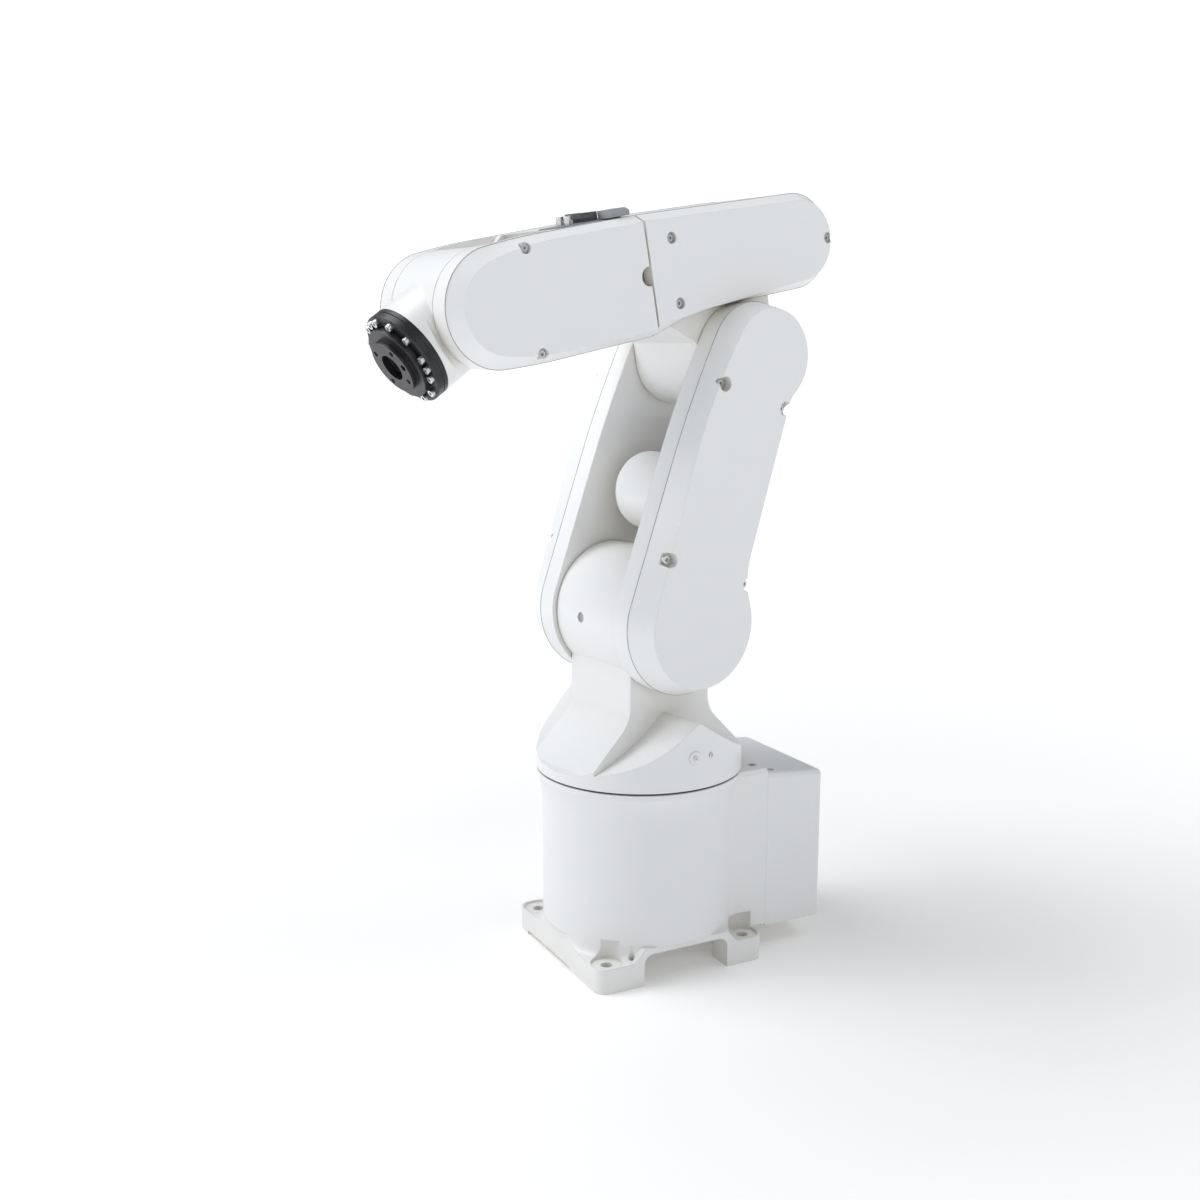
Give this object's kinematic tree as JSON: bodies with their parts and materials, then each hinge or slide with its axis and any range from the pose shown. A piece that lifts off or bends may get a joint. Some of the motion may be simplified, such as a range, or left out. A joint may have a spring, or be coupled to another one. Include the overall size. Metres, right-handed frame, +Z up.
{
  "type": "six-axis robot arm",
  "caption": "Bench-top jointed robot arm: bolted foot, turning shoulder, twin-plate upper arm, barrel forearm, pitching wrist and turning tool flange.",
  "frame": {"origin": "on the axis of the first joint, at the mounting face under the foot", "axes": "+Z up along the first joint's axis, +X to the robot's front, +Y to its left"},
  "size_m": [0.3849, 0.1798, 0.6041],
  "materials": {
    "white_paint": "glossy white enamel",
    "socket_grey": "dark grey moulded housing",
    "silver": "satin",
    "screw_steel": "zinc plated",
    "black_steel": "black oxide",
    "motor_black": "black anodised motor case",
    "gear_steel": "ground steel",
    "belt_rubber": "moulded timing belt",
    "pulley_metal": "machined",
    "plug_grey": "soft plug"
  },
  "bodies": {
    "base": {"base_casting": "white_paint", "rear_box_cover": "white_paint", "rear_box_screws": "screw_steel", "connector_panel": "silver", "main_connector": "socket_grey", "signal_connector": "socket_grey", "air_fittings": "silver", "j1_motor": "motor_black", "j1_reducer_ring": "gear_steel"},
    "shoulder": {"j1_output_hub": "gear_steel", "shoulder_casting": "white_paint", "stop_screws": "screw_steel", "drum_plug": "plug_grey", "j2_motor": "motor_black", "j2_reducer_ring": "gear_steel", "j2_bearing_race": "gear_steel"},
    "upper_arm": {"j2_output_hub": "gear_steel", "j2_support_stub": "gear_steel", "upper_arm_frame": "white_paint", "left_arm_cover": "white_paint", "right_arm_cover": "white_paint", "arm_cover_screws": "screw_steel", "j3_motor": "motor_black", "j3_motor_cap": "white_paint", "j3_motor_pulley": "pulley_metal", "j3_input_pulley": "pulley_metal", "j3_belt": "belt_rubber", "j3_reducer_ring": "gear_steel", "j3_support_stub": "gear_steel"},
    "elbow": {"j3_output_hub": "gear_steel", "j3_bearing_race": "gear_steel", "elbow_casting": "white_paint", "left_elbow_cover": "white_paint", "right_elbow_cover": "white_paint", "elbow_cover_screws": "screw_steel", "j4_motor": "motor_black", "j4_reducer_ring": "gear_steel"},
    "forearm": {"j4_output_hub": "gear_steel", "forearm_casting": "white_paint", "left_forearm_cover": "white_paint", "right_forearm_cover": "white_paint", "forearm_cover_screws": "screw_steel", "socket_plate": "silver", "tool_socket": "socket_grey", "socket_cap": "socket_grey", "air_ports": "silver", "j5_motor": "motor_black", "j5_motor_pulley": "pulley_metal", "j5_input_pulley": "pulley_metal", "j5_belt": "belt_rubber", "j5_reducer_ring": "gear_steel", "j5_support_stub": "gear_steel"},
    "wrist": {"j5_output_hub": "gear_steel", "j5_bearing_race": "gear_steel", "wrist_casting": "white_paint", "j6_motor": "motor_black", "bearing_ring": "black_steel", "ring_screws": "black_steel"},
    "tool_flange": {"tool_flange": "black_steel"}
  },
  "joints": [
    {"name": "j1_turn", "type": "hinge", "parent": "base", "child": "shoulder", "pos_m": [0, 0, 0.155], "axis": [0, 0, 1], "range_deg": [-168.4, 151.6]},
    {"name": "j2_lean", "type": "hinge", "parent": "shoulder", "child": "upper_arm", "pos_m": [0, 0, 0.28], "axis": [-0.1461, 0.9893, 0], "range_deg": [-102.3, 100]},
    {"name": "j3_elbow", "type": "hinge", "parent": "upper_arm", "child": "elbow", "pos_m": [-0.06316, -0.00933, 0.48006], "axis": [0.1461, -0.9893, 0], "range_deg": [-41.4, 99.6]},
    {"name": "j4_roll", "type": "hinge", "parent": "elbow", "child": "forearm", "pos_m": [0.03247, 0.00479, 0.53782], "axis": [0.9714, 0.1434, -0.1891], "range_deg": [-160, 160]},
    {"name": "j5_bend", "type": "hinge", "parent": "forearm", "child": "wrist", "pos_m": [0.15487, 0.02287, 0.514], "axis": [-0.1461, 0.9893, 0], "range_deg": [-143.9, 96.1]},
    {"name": "j6_flange", "type": "hinge", "parent": "wrist", "child": "tool_flange", "pos_m": [0.20361, 0.03007, 0.47975], "axis": [0.8123, 0.12, -0.5707], "range_deg": [-360, 360]}
  ]
}
